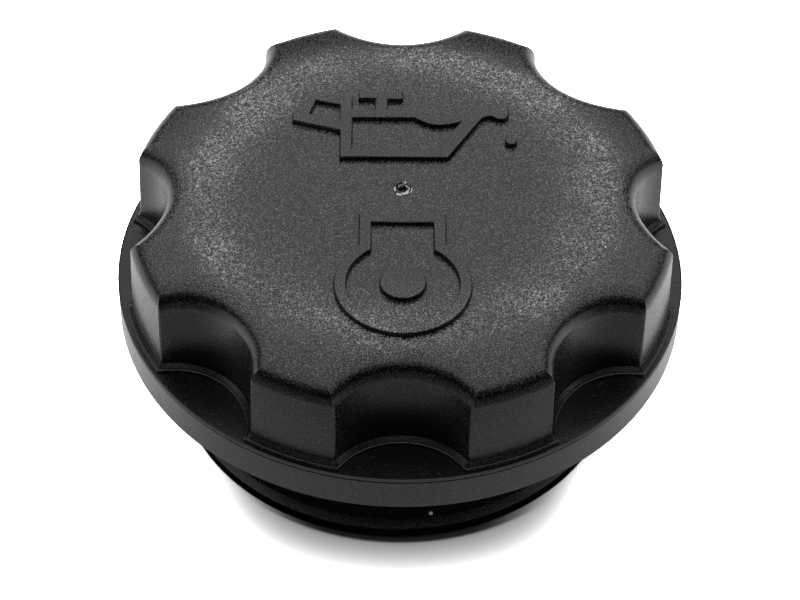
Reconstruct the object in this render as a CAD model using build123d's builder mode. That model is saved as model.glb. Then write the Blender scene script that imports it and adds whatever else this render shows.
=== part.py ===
from build123d import *
import math
import os

os.makedirs("parts", exist_ok=True)

# Oil filler cap. Millimetres, +Z up, with the foot of the neck on Z = 0 and the thread's axis on Z.
# A scallop of the grip faces the front, which is -Y.

# Flange: a narrow lip falls away along its upper edge, and the mould's two halves part in a fine line below it
flange_diameter = 80.0
flange_thickness = 5.5
flange_edge_chamfer = 0.15
flange_lip_width = 0.25
flange_lip_drop = 0.1
parting_line_drop = 0.35
parting_line_width = 0.2
parting_line_depth = 0.12

# Grip: drafted lobes, scooped out between them for the fingers, under a top that is flat in the
# middle and falls away in a shallow arc towards the lobes
grip_height = 14.9
grip_diameter = 77.0
grip_draft = 1.5
lobe_count = 8
scallop_radius = 10.85
scallop_depth = 5.6
lobe_corner_radius = 0.65
lobe_corner_margin = 0.03
crown_flat_diameter = 55.0
crown_radius = 40.0
grip_edge_radius = 3.0

# Plinth: the low step that follows the grip's outline on the flange. The grip's foot slopes out onto it and
# leaves a narrow land along its edge.
plinth_height = 0.5
plinth_margin = 0.9
plinth_corner_radius = 0.4
plinth_edge_radius = 0.3
plinth_land = 0.1

# Gate: the torn crater in the middle of the top, where the plastic ran into the mould, with a lip left standing
gate_diameter = 2.6
gate_rim_diameter = 2.0
gate_height = 0.2
gate_pit_diameter = 1.3
gate_pit_depth = 0.5
gate_lip_height = 0.85
gate_lip_wall = 0.2
gate_lip_span = 70.0
gate_lip_angle = 120.0

# Neck: a right-hand thread, with a plain collar above it that centres the seal
neck_length = 17.1
neck_wall = 2.5
neck_foot_chamfer = 0.5
thread_diameter = 64.0
thread_pitch = 4.0
thread_depth = 1.6
thread_root_width = 0.55
thread_flank_angle = 30.0
thread_front_crest_height = 3.95
thread_runout = 0.6
collar_diameter = 64.6
collar_height = 3.4

# Hollow inside the neck and the grip, drafted so that its core pulls out downwards
top_wall = 3.2
cavity_draft = 1.0
cavity_roof_chamfer = 3.0
cavity_mouth_chamfer = 0.6

# Flat sealing ring round the collar, against the flange
seal_thickness = 2.5
seal_width = 3.6
seal_clearance = 0.15

# Heights and radii that follow from the sizes above
flange_bottom = neck_length
flange_top = flange_bottom + flange_thickness
flange_radius = flange_diameter / 2
parting_line_top = flange_top - parting_line_drop
parting_line_bottom = parting_line_top - parting_line_width
parting_line_radius = flange_radius - parting_line_depth
plinth_top = flange_top + plinth_height
grip_top = flange_top + grip_height
grip_middle = (plinth_top + grip_top) / 2
grip_foot_chamfer = plinth_margin - plinth_edge_radius - plinth_land
crown_flat_radius = crown_flat_diameter / 2
crown_reach = grip_diameter / 2 + grip_edge_radius
crown_drop = crown_radius - math.sqrt(crown_radius**2 - (crown_reach - crown_flat_radius) ** 2)
collar_bottom = flange_bottom - collar_height
collar_radius = collar_diameter / 2
thread_radius = thread_diameter / 2
thread_root_radius = thread_radius - thread_depth
cavity_top = grip_top - top_wall
cavity_mouth_radius = thread_root_radius - neck_wall
cavity_roof_span = cavity_mouth_radius - cavity_top * math.tan(math.radians(cavity_draft))
seal_bottom = flange_bottom - seal_thickness
seal_inner_radius = collar_radius + seal_clearance
front_angle = -90.0


def lobed_outline(height, margin, corner_radius=0):
    """The grip's outline in plan at a height, grown by a margin, with its corners rounded."""
    lobe_radius = grip_diameter / 2
    scallop_centre = lobe_radius - scallop_depth + scallop_radius
    with BuildSketch(Plane.XY.offset(height)) as outline:
        Circle(lobe_radius + margin)
        with PolarLocations(scallop_centre, lobe_count, start_angle=front_angle):
            Circle(scallop_radius - margin, mode=Mode.SUBTRACT)
        if corner_radius > 0:
            fillet(outline.vertices(), corner_radius)
    return outline.sketch


def ends(edge):
    """An edge's two end points."""
    return (edge @ 0, edge @ 1)


def on_flat_circle(point):
    """Whether a point is as far from the axis as the edge of the crown's flat."""
    return math.isclose(math.hypot(point.X, point.Y), crown_flat_radius, abs_tol=0.01)


def corner_edges(edges):
    """The upright edges at the corners of the lobes, which pass the grip's middle height."""
    return edges.filter_by(lambda edge: {end.Z > grip_middle for end in ends(edge)} == {True, False})


def rim_edges(edges):
    """The edges where the crown meets the walls of the lobes and scallops."""
    high_edges = edges.filter_by(lambda edge: all(end.Z > grip_middle for end in ends(edge)))
    return high_edges.filter_by(lambda edge: not any(on_flat_circle(end) for end in ends(edge)))


# Thread: one ridge with sloping flanks, wound round the neck from below its foot to just under the collar.
# It bites into the neck's wall, and its grooves keep their width at the root.
ridge_bite = thread_root_width / 2
ridge_base_radius = thread_root_radius - ridge_bite
flank_slope = math.tan(math.radians(thread_flank_angle))
ridge_half_base = (thread_pitch - thread_root_width) / 2 + ridge_bite * flank_slope
ridge_half_crest = (thread_pitch - thread_root_width) / 2 - thread_depth * flank_slope
turns_below_front = 2
ridge_start = thread_front_crest_height + thread_pitch * (front_angle / 360 - turns_below_front)
ridge_end = collar_bottom - thread_runout - ridge_half_base
with BuildPart() as thread_ridge:
    with BuildLine():
        spiral = Helix(
            pitch=thread_pitch,
            height=ridge_end - ridge_start,
            radius=thread_root_radius,
            center=(0, 0, ridge_start),
        )
    with BuildSketch(Plane.XZ):
        with BuildLine():
            Polyline(
                (ridge_base_radius, ridge_start - ridge_half_base),
                (thread_radius, ridge_start - ridge_half_crest),
                (thread_radius, ridge_start + ridge_half_crest),
                (ridge_base_radius, ridge_start + ridge_half_base),
                close=True,
            )
        make_face()
    sweep(path=spiral, is_frenet=True)

# Taller lobes with rounded corners, a hair outside the grip's walls, which trim only the grip's corners
with BuildPart() as rounded_lobes:
    extrude(lobed_outline(plinth_top, lobe_corner_margin), amount=grip_height, taper=grip_draft)
    fillet(corner_edges(rounded_lobes.edges()), lobe_corner_radius)

# Cap body: the grip, plinth, flange, collar and threaded neck are one hollow moulding
with BuildPart() as cap_body:
    # Grip: sharp lobes are cut by the crown and rounded along its rim, and their corners are trimmed last
    extrude(lobed_outline(plinth_top, 0), amount=grip_top - plinth_top, taper=grip_draft)
    with BuildSketch(Plane.XZ):
        with BuildLine():
            RadiusArc((crown_flat_radius, grip_top), (crown_reach, grip_top - crown_drop), crown_radius)
            Polyline(
                (crown_reach, grip_top - crown_drop),
                (crown_reach, grip_top + crown_drop),
                (crown_flat_radius, grip_top + crown_drop),
                (crown_flat_radius, grip_top),
            )
        make_face()
    revolve(axis=Axis.Z, mode=Mode.SUBTRACT)
    fillet(rim_edges(cap_body.edges()), grip_edge_radius)
    add(rounded_lobes.part, mode=Mode.INTERSECT)

    # Plinth, with a rounded edge of its own and a chamfer where the grip rises from it
    extrude(lobed_outline(flange_top, plinth_margin, plinth_corner_radius), amount=plinth_height)
    plinth_face = cap_body.faces().filter_by(Axis.Z).group_by(Axis.Z)[1].face()
    fillet(plinth_face.outer_wire().edges(), plinth_edge_radius)
    plinth_face = cap_body.faces().filter_by(Axis.Z).group_by(Axis.Z)[1].face()
    chamfer(plinth_face.inner_wires()[0].edges(), grip_foot_chamfer)

    # Flange, with its lip and parting line
    with BuildSketch(Plane.XZ):
        with BuildLine():
            Polyline(
                (0, flange_bottom),
                (flange_radius - flange_edge_chamfer, flange_bottom),
                (flange_radius, flange_bottom + flange_edge_chamfer),
                (flange_radius, parting_line_bottom),
                (parting_line_radius, parting_line_bottom),
                (parting_line_radius, parting_line_top),
                (flange_radius, parting_line_top),
                (flange_radius, flange_top - flange_lip_drop),
                (flange_radius - flange_lip_width, flange_top),
                (0, flange_top),
                close=True,
            )
        make_face()
    revolve(axis=Axis.Z)

    # Collar
    with BuildSketch(Plane.XY.offset(collar_bottom)):
        Circle(collar_radius)
    extrude(amount=collar_height)

    # Neck and thread, which start below the foot
    trim_depth = (turns_below_front + 1) * thread_pitch
    with BuildSketch(Plane.XY.offset(-trim_depth)):
        Circle(thread_root_radius)
    extrude(amount=trim_depth + collar_bottom)
    add(thread_ridge.part)

    # Foot: all below Z = 0 is cut away, with a chamfer that leads the thread in
    trim_radius = thread_radius + thread_depth
    with BuildSketch(Plane.XZ):
        with BuildLine():
            Polyline(
                (0, 0),
                (thread_radius - neck_foot_chamfer, 0),
                (trim_radius, trim_radius - thread_radius + neck_foot_chamfer),
                (trim_radius, -trim_depth),
                (0, -trim_depth),
                close=True,
            )
        make_face()
    revolve(axis=Axis.Z, mode=Mode.SUBTRACT)

    # Hollow
    with BuildSketch(Plane.XZ):
        with BuildLine():
            Polyline(
                (0, 0),
                (cavity_mouth_radius + cavity_mouth_chamfer, 0),
                (cavity_mouth_radius, cavity_mouth_chamfer),
                (cavity_roof_span, cavity_top),
                (0, cavity_top),
                close=True,
            )
        hollow = make_face()
        roof_corner = hollow.vertices().group_by(Axis.Y)[-1].sort_by(Axis.X)[-1]
        chamfer(roof_corner, cavity_roof_chamfer)
    revolve(axis=Axis.Z, mode=Mode.SUBTRACT)

    # Gate: the crater's low rim, its lip and its pit
    with BuildSketch(Plane.XZ):
        with BuildLine():
            Polyline(
                (0, grip_top),
                (gate_diameter / 2, grip_top),
                (gate_rim_diameter / 2, grip_top + gate_height),
                (0, grip_top + gate_height),
                close=True,
            )
        make_face()
    revolve(axis=Axis.Z)
    with BuildSketch(Plane.XY.offset(grip_top)):
        with BuildLine():
            lip_radius = gate_pit_diameter / 2 + gate_lip_wall
            tear = CenterArc((0, 0), lip_radius, gate_lip_angle - gate_lip_span / 2, gate_lip_span)
            Polyline(tear @ 0, (0, 0), tear @ 1)
        make_face()
    extrude(amount=gate_lip_height)
    with BuildSketch(Plane.XY.offset(grip_top + gate_lip_height)):
        Circle(gate_pit_diameter / 2)
    extrude(amount=-gate_lip_height - gate_pit_depth, mode=Mode.SUBTRACT)

cap_body.part.label = "cap_body"
export_step(cap_body.part, "parts/cap_body.step")

# Sealing ring
with BuildPart() as sealing_ring:
    with BuildSketch(Plane.XY.offset(seal_bottom)):
        Circle(seal_inner_radius + seal_width)
        Circle(seal_inner_radius, mode=Mode.SUBTRACT)
    extrude(amount=seal_thickness)

sealing_ring.part.label = "sealing_ring"
export_step(sealing_ring.part, "parts/sealing_ring.step")
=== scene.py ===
import math
import random

import bmesh
import bpy
from mathutils import Euler, Matrix, Vector


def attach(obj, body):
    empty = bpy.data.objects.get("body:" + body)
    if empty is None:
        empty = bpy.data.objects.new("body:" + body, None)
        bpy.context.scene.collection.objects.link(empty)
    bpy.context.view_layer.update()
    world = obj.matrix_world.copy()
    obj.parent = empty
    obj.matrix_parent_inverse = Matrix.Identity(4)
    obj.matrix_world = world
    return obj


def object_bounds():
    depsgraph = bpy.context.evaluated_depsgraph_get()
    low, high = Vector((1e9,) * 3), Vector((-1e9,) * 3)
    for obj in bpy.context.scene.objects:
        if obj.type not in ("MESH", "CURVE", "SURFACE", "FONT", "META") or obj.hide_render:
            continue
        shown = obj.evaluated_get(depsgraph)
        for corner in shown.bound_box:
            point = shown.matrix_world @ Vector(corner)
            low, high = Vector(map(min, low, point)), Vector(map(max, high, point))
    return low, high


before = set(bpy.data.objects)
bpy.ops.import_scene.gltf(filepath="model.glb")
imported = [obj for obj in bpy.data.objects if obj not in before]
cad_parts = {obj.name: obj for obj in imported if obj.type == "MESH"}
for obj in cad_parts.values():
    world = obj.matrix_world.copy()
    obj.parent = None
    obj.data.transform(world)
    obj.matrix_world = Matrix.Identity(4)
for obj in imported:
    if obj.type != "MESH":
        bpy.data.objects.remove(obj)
cad_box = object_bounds()
scene = bpy.context.scene
scene.view_settings.view_transform = "Standard"

# Sizes are in millimetres in the part's frame, with the foot of the neck on Z = 0 and the front at -Y.
# MM turns them into Blender's metres.
MM = 0.001

# Relief on the grip: it sinks a little into the grip's top, which lies under the lip of the torn gate
gate_lip_height = 0.85
relief_sink = 0.06
sign_height = 0.75
sign_wall_run = 0.2
weld_distance = 0.002
grip_top = cad_box[1][2] / MM - gate_lip_height
relief_foot = grip_top - relief_sink
sign_top = grip_top + sign_height


def mm(*sizes):
    """Sizes in millimetres as Blender's metres."""
    return tuple(size * MM for size in sizes)


def grey(value, warmth=0.0):
    """A grey of a linear value, a little redder than blue where it is warm."""
    return (value * (1 + warmth), value, value * (1 - warmth), 1.0)


class Graph:
    """The node tree of a material or the world, with short ways to add nodes and join them."""

    def __init__(self, owner):
        owner.use_nodes = True
        self.tree = owner.node_tree
        self.tree.nodes.clear()

    def node(self, kind, settings=None, **sockets):
        """A new node with its settings and sockets. A socket's name has an underscore for each space."""
        made = self.tree.nodes.new("ShaderNode" + kind)
        for name, value in (settings or {}).items():
            setattr(made, name, value)
        for name, value in sockets.items():
            wanted = name.replace("_", " ").lower()
            self.put(next(s for s in made.inputs if s.name.lower() == wanted and s.enabled), value)
        return made

    def put(self, socket, value):
        """Join another node's output to a socket, or give the socket a constant."""
        if isinstance(value, bpy.types.NodeSocket):
            self.tree.links.new(value, socket)
        else:
            socket.default_value = value

    def math(self, operation, *values, clamp=False):
        """The result of an operation on one or two values."""
        made = self.node("Math", {"operation": operation, "use_clamp": clamp})
        for socket, value in zip(made.inputs, values):
            self.put(socket, value)
        return made.outputs[0]

    def product(self, first, *others):
        """All the values multiplied."""
        for other in others:
            first = self.math("MULTIPLY", first, other)
        return first

    def ramp(self, value, span, levels=(0.0, 1.0)):
        """A smooth change from one level to the other while the value runs through the span."""
        made = self.node(
            "MapRange",
            {"interpolation_type": "SMOOTHSTEP"},
            Value=value,
            From_Min=span[0],
            From_Max=span[1],
            To_Min=levels[0],
            To_Max=levels[1],
        )
        return made.outputs[0]

    def blend(self, share, first, second):
        """A colour between two colours."""
        made = self.node("Mix", {"data_type": "RGBA"}, Factor=share)
        colours = [s for s in made.inputs if s.type == "RGBA"]
        self.put(colours[0], first)
        self.put(colours[1], second)
        return next(s for s in made.outputs if s.type == "RGBA")

    def noise(self, vector, size, detail=2.0, roughness=0.5):
        """Noise from 0 to 1, with the size of its blobs in millimetres."""
        made = self.node(
            "TexNoise", Vector=vector, Scale=1 / (size * MM), Detail=detail, Roughness=roughness
        )
        return made.outputs["Fac"]

    def radius(self, x, y):
        """The distance from the upright axis."""
        return self.math("SQRT", self.math("ADD", self.product(x, x), self.product(y, y)))

    def frontness(self, y, radius):
        """How far to the front a place lies: 1 at the front, 0 at the sides and -1 at the back."""
        smallest_radius = 0.001
        return self.math("DIVIDE", self.product(y, -1.0), self.math("MAXIMUM", radius, smallest_radius))

    def rays(self):
        """Whether a ray comes from the eye, straight or through glass, and whether from a reflection."""
        path = self.node("LightPath").outputs
        eye = self.math("MAXIMUM", path["Is Camera Ray"], path["Is Transmission Ray"])
        return eye, path["Is Glossy Ray"]

    def mix(self, share, first, second):
        """A shader between two shaders."""
        made = self.node("MixShader")
        for socket, value in zip(made.inputs, (share, first.outputs[0], second.outputs[0])):
            self.put(socket, value)
        return made

    def output(self, shader, kind="OutputMaterial"):
        """Make a shader the one that the material or the world shows."""
        self.put(self.node(kind).inputs["Surface"], shader.outputs[0])


def new_material(name):
    """An empty material and its graph."""
    material = bpy.data.materials.new(name)
    return material, Graph(material)


def nylon_material():
    """Black glass-filled nylon with a moulded grain, and with pale specks and fibres on the top."""
    material, graph = new_material("black_nylon")
    coordinates = graph.node("TexCoord").outputs
    place = coordinates["Object"]
    x, y, z = graph.node("SeparateXYZ", Vector=place).outputs
    radius = graph.radius(x, y)
    upward = graph.node("SeparateXYZ", Vector=coordinates["Normal"]).outputs[2]
    on_top = graph.product(graph.ramp(z, mm(32.0, 35.0)), graph.ramp(upward, (0.50, 0.90)))

    # Ring on the top where the fibres show: patchy and strongest where the flat ends; its dimming at the
    # front is painted shade
    ring_start, ring_middle, ring_end = mm(16.0, 28.0, 34.5)
    rise = graph.ramp(radius, (ring_start, ring_middle))
    fall = graph.ramp(radius, (ring_middle, ring_end), (1.0, 0.0))
    patches = graph.ramp(graph.noise(place, size=9.0, detail=3.0), (0.3, 0.7), (0.6, 1.0))
    # Painted shade: the ring dims towards the front, away from the light
    painted_light_from_back = graph.ramp(y, mm(-26.0, 2.0), (0.78, 1.05))
    ring = graph.product(rise, fall, on_top, patches, painted_light_from_back)

    # Fibres: short strokes that lie outwards and wander, and that are closest together in the ring
    stroke_width = 0.14
    stroke_squeeze = 0.26
    wander = graph.product(graph.noise(place, size=1.1), 2.0 * MM)
    around = graph.math("ADD", graph.product(graph.math("ARCTAN2", y, x), ring_middle), wander)
    outwards = graph.product(radius, stroke_squeeze)
    stroke_place = graph.node("CombineXYZ", X=around, Y=outwards, Z=z).outputs[0]
    strokes = graph.noise(stroke_place, stroke_width, detail=1.0)
    stroke_limit = graph.ramp(ring, (0.0, 1.0), (0.68, 0.52))
    fibres = graph.ramp(graph.math("SUBTRACT", strokes, stroke_limit), (0.0, 0.12))
    fibre_share = graph.product(fibres, graph.ramp(ring, (0.0, 1.0), (0.1, 0.85)))

    # Specks: fine dots of fibre ends, close together on the top and sparse on the walls; there are none on
    # the neck or low in the scallops, which is painted shade
    dots = graph.noise(place, size=0.17, detail=1.0, roughness=0.6)
    specks = graph.ramp(dots, (0.48, 0.66))
    top_share = graph.math("ADD", graph.product(on_top, 0.42), graph.product(ring, 0.55))
    wall_share = graph.ramp(upward, (0.3, 0.7), (0.5, 0.03))
    # Painted shade: wall specks only on the outer and upper walls, none where shade falls
    outside_painted_shade = graph.math("MAXIMUM", graph.ramp(radius, mm(36.0, 37.5)), graph.ramp(z, mm(28.0, 34.0)))
    wall_specks = graph.product(graph.ramp(dots, (0.62, 0.74)), wall_share, outside_painted_shade)
    speck_share = graph.math("ADD", graph.product(specks, top_share), wall_specks, clamp=True)

    # Colour: slow clouds in the black, under the pale specks and fibres
    clouds = graph.noise(place, size=6.0, detail=4.0, roughness=0.6)
    black = graph.blend(clouds, grey(0.0008, -0.01), grey(0.0016, 0.01))
    speckled = graph.blend(speck_share, black, grey(0.20, -0.03))
    colour = graph.blend(fibre_share, speckled, grey(0.37, -0.03))

    # Grain: coarse and fine bumps, higher where the specks are
    coarse = graph.noise(place, size=0.45)
    fine = graph.noise(place, size=0.25, roughness=0.6)
    grain = graph.math("ADD", graph.product(coarse, 0.6), graph.product(fine, 0.4))
    height = graph.math("ADD", grain, graph.product(specks, 0.25))
    bump = graph.node("Bump", Strength=1.0, Distance=0.03 * MM, Height=height)

    shader = graph.node(
        "BsdfPrincipled",
        Base_Color=colour,
        Roughness=graph.ramp(fine, (0.25, 0.75), (0.18, 0.30)),
        Normal=bump.outputs[0],
        Specular_IOR_Level=0.3,
    )
    graph.output(shader)
    return material


def rubber_material():
    """Black nitrile rubber: softer and duller than the nylon, with a faint bloom."""
    material, graph = new_material("black_rubber")
    place = graph.node("TexCoord").outputs["Object"]
    bloom = graph.noise(place, size=4.0, detail=4.0, roughness=0.6)
    grain = graph.noise(place, size=0.35)
    bump = graph.node("Bump", Strength=0.3, Distance=0.02 * MM, Height=grain)
    shader = graph.node(
        "BsdfPrincipled",
        Base_Color=graph.blend(bloom, grey(0.014), grey(0.024, 0.02)),
        Roughness=graph.ramp(bloom, (0.3, 0.7), (0.55, 0.72)),
        Normal=bump.outputs[0],
    )
    graph.output(shader)
    return material


def pale_material(name, value):
    """Torn plastic or dust: pale, rough and a little uneven."""
    material, graph = new_material(name)
    place = graph.node("TexCoord").outputs["Object"]
    colour = graph.blend(graph.noise(place, size=0.15), grey(value * 0.5), grey(value))
    graph.output(graph.node("BsdfPrincipled", Base_Color=colour, Roughness=0.6))
    return material


nylon = nylon_material()
rubber = rubber_material()
for name, material in (("cap_body", nylon), ("sealing_ring", rubber)):
    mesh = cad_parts[name].data
    mesh.materials.clear()
    mesh.materials.append(material)


def add_piece(name, mesh, material):
    """A piece that is fixed to the cap's body, from a mesh in metres."""
    mesh.materials.clear()
    mesh.materials.append(material)
    piece = bpy.data.objects.new(name, mesh)
    scene.collection.objects.link(piece)
    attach(piece, "root")


def arc(centre, radius, start, end, steps):
    """Points along an arc, with its angles in degrees."""
    angles = [math.radians(start + (end - start) * i / steps) for i in range(steps + 1)]
    return [(centre[0] + radius * math.cos(a), centre[1] + radius * math.sin(a)) for a in angles]


def circle(centre, radius, count):
    """Points round a circle."""
    return arc(centre, radius, 0, 360 - 360 / count, count - 1)


def between(before, start, end, after, share):
    """A value on the smooth curve from start to end, which also heeds the values before and after them."""
    slope = end - before
    bend = 2 * before - 5 * start + 4 * end - after
    twist = 3 * start - before - 3 * end + after
    return 0.5 * (2 * start + slope * share + bend * share**2 + twist * share**3)


def smooth_run(points, steps=6):
    """A smooth run through the points, from the first to the last."""
    run = []
    last = len(points) - 1
    for i in range(last):
        neighbours = [points[min(max(k, 0), last)] for k in range(i - 1, i + 3)]
        for step in range(steps):
            run.append(tuple(between(*values, step / steps) for values in zip(*neighbours)))
    return run + [points[last]]


def raised_sign(name, outlines):
    """A raised sign on the grip's top, with walls that run out towards its foot. The outlines are those of
    its top in plan, with holes where one lies inside another."""
    curve = bpy.data.curves.new(name, "CURVE")
    curve.dimensions = "2D"
    curve.fill_mode = "BOTH"
    curve.bevel_depth = sign_wall_run * MM
    curve.bevel_resolution = 2
    for outline in outlines:
        spline = curve.splines.new("POLY")
        spline.points.add(len(outline) - 1)
        for point, (x, y) in zip(spline.points, outline):
            point.co = (x * MM, y * MM, 0, 1)
        spline.use_cyclic_u = True
    shape = bpy.data.objects.new(name + "_shape", curve)
    scene.collection.objects.link(shape)
    bpy.context.view_layer.update()
    evaluated = shape.evaluated_get(bpy.context.evaluated_depsgraph_get())
    mesh = bpy.data.meshes.new_from_object(evaluated)
    bpy.data.objects.remove(shape)

    # The bevel's upper half is stretched to the sign's height, and its lower half is pressed flat
    for vertex in mesh.vertices:
        share = max(vertex.co.z / (sign_wall_run * MM), 0)
        vertex.co.z = (relief_foot + (sign_top - relief_foot) * share) * MM
    welded = bmesh.new()
    welded.from_mesh(mesh)
    bmesh.ops.remove_doubles(welded, verts=welded.verts, dist=weld_distance * MM)
    welded.to_mesh(mesh)
    welded.free()
    add_piece(name, mesh, nylon)


# Sign of an oil can with a drop, behind the middle
wave = [(1.8, 14.17), (3.1, 13.3), (4.2, 12.8), (5.5, 12.65), (7.5, 13.05), (8.7, 13.6)]
wave_back = [(1.8, 15.6), (3.1, 14.75), (4.2, 14.28), (5.5, 14.15), (7.5, 14.55), (9.1, 15.25)]
spout_back = [(10.2, 15.9), (11.8, 16.1), (12.9, 16.1), (13.6, 15.55), (14.45, 15.5), (15.1, 16.2)]
spout_front = [(15.05, 14.65), (14.4, 14.0), (13.6, 14.05), (12.8, 14.6), (11.8, 14.46), (11.1, 13.9)]
handle = [(-15.3, 13.4), (-15.3, 15.05), (-14.5, 14.85), (-13.3, 19.45), (-8.6, 18.35), (-7.15, 18.35)]
lid_left = [(-7.15, 15.6), (-3.6, 15.6), (-3.6, 18.1), (-5.95, 18.1), (-5.95, 19.55)]
lid_right = [(0.05, 19.55), (0.05, 18.1), (-2.15, 18.1), (-2.15, 15.6)]
can_foot = [(6.36, 5.95), (-8.55, 5.95), (-8.55, 11.45)]
can_outline = (
    handle
    + lid_left
    + lid_right
    + smooth_run(wave_back)
    + smooth_run(spout_back)
    + smooth_run(spout_front)
    + can_foot
)
can_hollow = [(-7.13, 14.15)] + smooth_run(wave) + [(5.05, 7.45), (-7.13, 7.45)]
handle_hollow = [(-12.3, 17.78), (-8.6, 16.85), (-8.6, 13.05), (-13.2, 14.5)]
drop_centre = (15.37, 9.5)
drop_radius = 0.72
drop = circle(drop_centre, drop_radius, count=48)
raised_sign("oil_can_sign", [can_outline, can_hollow, handle_hollow, drop])

# Sign of an engine with its shaft, in front of the middle
engine_centre = (0.0, -18.7)
engine_radius = 9.12
engine_stroke = 1.4
hat_half_width = 5.8
hat_back = -5.6
hat_back_stroke = 1.35
shaft_centre = (0.0, -18.45)
shaft_radius = 3.0


def engine_shape(radius, half_width, back):
    """A ring that opens at its back into a square hat."""
    corner = math.degrees(math.acos(half_width / radius))
    hat = [(-half_width, back), (half_width, back)]
    return hat + arc(engine_centre, radius, corner, -180 - corner, steps=96)


engine_outline = engine_shape(engine_radius, hat_half_width, hat_back)
engine_hollow = engine_shape(
    engine_radius - engine_stroke, hat_half_width - engine_stroke, hat_back - hat_back_stroke
)
shaft = circle(shaft_centre, shaft_radius, count=72)
raised_sign("engine_sign", [engine_outline, engine_hollow, shaft])


def small_piece(name, shape, material):
    """A small piece on the cap's body, from a bmesh in millimetres."""
    mesh = bpy.data.meshes.new(name)
    bmesh.ops.recalc_face_normals(shape, faces=shape.faces)
    shape.to_mesh(mesh)
    shape.free()
    mesh.transform(Matrix.Scale(MM, 4))
    add_piece(name, mesh, material)


# Gate's torn rim: ragged pale flakes round the crater, the tallest on the lip that stands there. Each runs
# from one angle to another, with the radius of its inner edge and that edge's height over the grip's top,
# and then those of its outer edge.
flakes = (
    (80, 150, (0.60, 0.35), (0.92, 0.74)),
    (-92, -40, (0.88, 0.24), (1.20, 0.14)),
    (-130, -95, (1.10, 0.17), (1.38, 0.08)),
    (-38, 10, (0.90, 0.26), (1.06, 0.22)),
    (-30, 6, (1.24, 0.12), (1.42, 0.06)),
    (165, 208, (0.95, 0.23), (1.12, 0.15)),
    (12, 48, (0.68, 0.25), (0.78, 0.24)),
    (66, 76, (1.18, 0.12), (1.65, 0.05)),
)
flake_steps = 7
ragged_radius = (-0.05, 0.05)
ragged_height = (-0.03, 0.06)
draw = random.Random(11)


def flake_section(angle, inner, outer):
    """The four corners of a flake's section at an angle: up its inner edge and down its outer edge."""
    corners = []
    for (radius, height), rises in ((inner, True), (outer, False)):
        reach = radius + draw.uniform(*ragged_radius)
        tip = grip_top + height + draw.uniform(*ragged_height)
        for z in (relief_foot, tip) if rises else (tip, relief_foot):
            corners.append((reach * math.cos(angle), reach * math.sin(angle), z))
    return corners


torn = bmesh.new()
for start, end, inner, outer in flakes:
    sections = []
    for i in range(flake_steps + 1):
        angle = math.radians(start + (end - start) * i / flake_steps)
        sections.append([torn.verts.new(corner) for corner in flake_section(angle, inner, outer)])
    for section, following in zip(sections, sections[1:]):
        for k in range(4):
            torn.faces.new((section[k], section[(k + 1) % 4], following[(k + 1) % 4], following[k]))
    torn.faces.new(sections[0])
    torn.faces.new(sections[-1][::-1])
small_piece("gate_tear", torn, pale_material("torn_nylon", 0.7))

# Specks of dust that the photograph shows on the neck, the top and a lobe, with their radii
dust_grains = (
    ((4.33, -31.75, 6.06), 0.30),
    ((27.5, -10.9, 37.45), 0.15),
    ((-19.2, -29.6, 33.9), 0.09),
)
dust = bmesh.new()
for place, radius in dust_grains:
    bmesh.ops.create_icosphere(dust, subdivisions=2, radius=radius, matrix=Matrix.Translation(place))
small_piece("dust_specks", dust, pale_material("dust", 0.95))


def floor_material():
    """White paper, which clips to white for the eye and keeps the cap's shadow, with a painted shadow round
    the neck and in reflections close under the cap. Like the sheet under a small studio tent, it ends in
    the dark a little way in front of the cap, which only reflections show."""
    material, graph = new_material("white_floor")
    eye, mirrored = graph.rays()
    x, y, _ = graph.node("SeparateXYZ", Vector=graph.node("TexCoord").outputs["Object"]).outputs
    radius = graph.radius(x, y)
    frontness = graph.frontness(y, radius)

    # Paper: a painted shadow round the neck, widest at the front, with a painted shadow line under the
    # front of the foot
    shade_start = graph.ramp(frontness, (0.6, 0.95), mm(28.0, 31.6))
    shade_end = graph.ramp(frontness, (0.55, 0.96), mm(35.5, 48.5))
    # Painted shadow: the paper's colour darkens towards the neck
    shade = graph.blend(graph.ramp(radius, (shade_start, shade_end)), grey(0.17), grey(0.86))
    at_foot = graph.ramp(radius, mm(31.9, 32.6), (1.0, 0.0))
    painted_shadow_line = graph.product(graph.ramp(frontness, (0.7, 0.95)), at_foot)
    paper = graph.node("BsdfDiffuse", Color=graph.blend(painted_shadow_line, shade, grey(0.01)))

    # Bright paper: doubled three times, for the eye and for a share of the reflections
    bright = paper
    for _ in range(3):
        doubled = graph.node("AddShader")
        for socket in doubled.inputs:
            graph.put(socket, bright.outputs[0])
        bright = doubled
    mirrored_share = graph.product(mirrored, graph.ramp(frontness, (-0.3, 0.2), (0.086, 0.129)))
    bright_share = graph.math("ADD", graph.product(eye, 0.98), mirrored_share)
    sheet = graph.mix(bright_share, paper, bright)

    # Dark for reflections alone: past the sheet's front end, and a painted shadow close under the front of
    # the cap
    sheet_end = graph.ramp(radius, mm(26.0, 96.0), (0.0, 0.85))
    past_sheet = graph.product(graph.ramp(frontness, (0.2, 0.7)), sheet_end)
    near_cap = graph.ramp(radius, mm(42.0, 50.0), (0.97, 0.0))
    # Painted shadow: the reflected floor darkens close under the front of the cap
    painted_shadow_under_cap = graph.product(graph.ramp(frontness, (-0.1, 0.4)), near_cap)
    dark_share = graph.product(mirrored, graph.math("MAXIMUM", past_sheet, painted_shadow_under_cap))
    dark = graph.node("BsdfDiffuse", Color=grey(0.01))
    graph.output(graph.mix(dark_share, sheet, dark))
    return material


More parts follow.
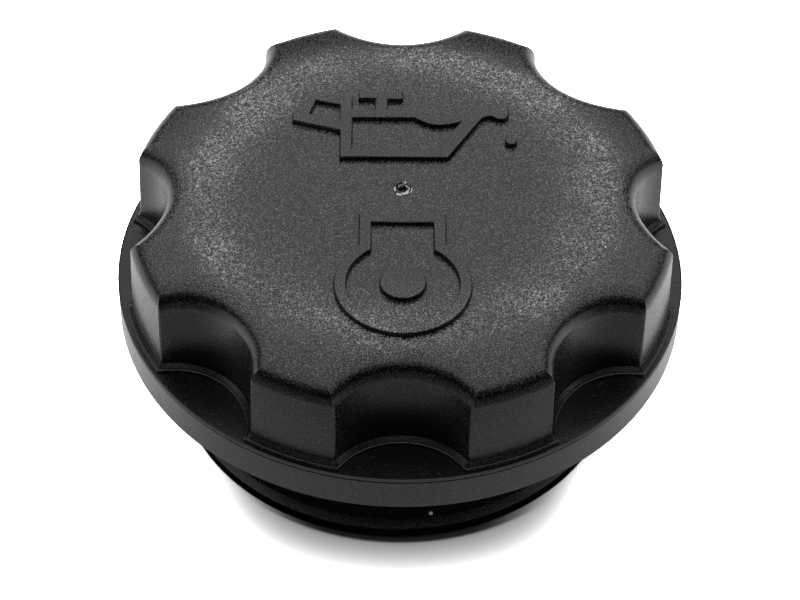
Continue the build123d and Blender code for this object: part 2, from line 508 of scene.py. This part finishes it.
# Floor
floor_reach = 3000.0 * MM
floor_corners = [(x * floor_reach, y * floor_reach, 0) for x, y in ((-1, -1), (1, -1), (1, 1), (-1, 1))]
floor_mesh = bpy.data.meshes.new("floor")
floor_mesh.from_pydata(floor_corners, [], [(0, 1, 2, 3)])
floor_mesh.materials.append(floor_material())
floor = bpy.data.objects.new("floor", floor_mesh)
scene.collection.objects.link(floor)


def studio_world():
    """White to the eye, and for the light a white tent, brighter at its back and open in front."""
    world = bpy.data.worlds.new("studio")
    graph = Graph(world)
    eye, _ = graph.rays()
    x, y, z = graph.node("SeparateXYZ", Vector=graph.node("TexCoord").outputs["Generated"]).outputs
    frontness = graph.frontness(y, graph.radius(x, y))

    # The tent's lower edge, as the upward part of a direction: low at the sides and highest in front
    front_edge = graph.ramp(frontness, (0.05, 0.5), (0.28, 0.68))
    back_edge = graph.ramp(frontness, (-0.7, -0.3), (0.45, 0.28))
    over_edge = graph.math("SUBTRACT", z, graph.math("MAXIMUM", front_edge, back_edge))
    tent_cloth = graph.ramp(over_edge, (0.0, 0.08))

    # Its light: strongest on the back wall, with a faint glow from the dark below the edge
    at_back = graph.ramp(frontness, (-0.9, -0.3), (1.0, 0.0))
    back_wall = graph.product(at_back, graph.ramp(z, (0.80, 0.95), (1.0, 0.0)))
    glow = graph.product(tent_cloth, graph.ramp(back_wall, (0.0, 1.0), (1.45, 1.85)))
    tent = graph.node("Background", Color=grey(1.0), Strength=graph.math("ADD", glow, 0.01))
    white = graph.node("Background", Color=grey(1.0), Strength=1.0)
    graph.output(graph.mix(eye, tent, white), "OutputWorld")
    return world


scene.world = studio_world()

# Camera at the photograph's viewpoint, with its tilt, roll and turn in degrees
camera_place = (-5.806, -269.185, 294.524)
camera_angles = (43.9718, -0.9513, -0.2641)
camera = bpy.data.objects.new("camera", bpy.data.cameras.new("camera"))
camera.data.sensor_fit = "HORIZONTAL"
camera.data.sensor_width = 36.0
camera.data.lens = 121.15
camera.data.clip_start = 0.01
camera.data.clip_end = 20.0
camera_turn = Euler([math.radians(angle) for angle in camera_angles])
camera.matrix_world = Matrix.LocRotScale(Vector(mm(*camera_place)), camera_turn, None)
scene.collection.objects.link(camera)
scene.camera = camera
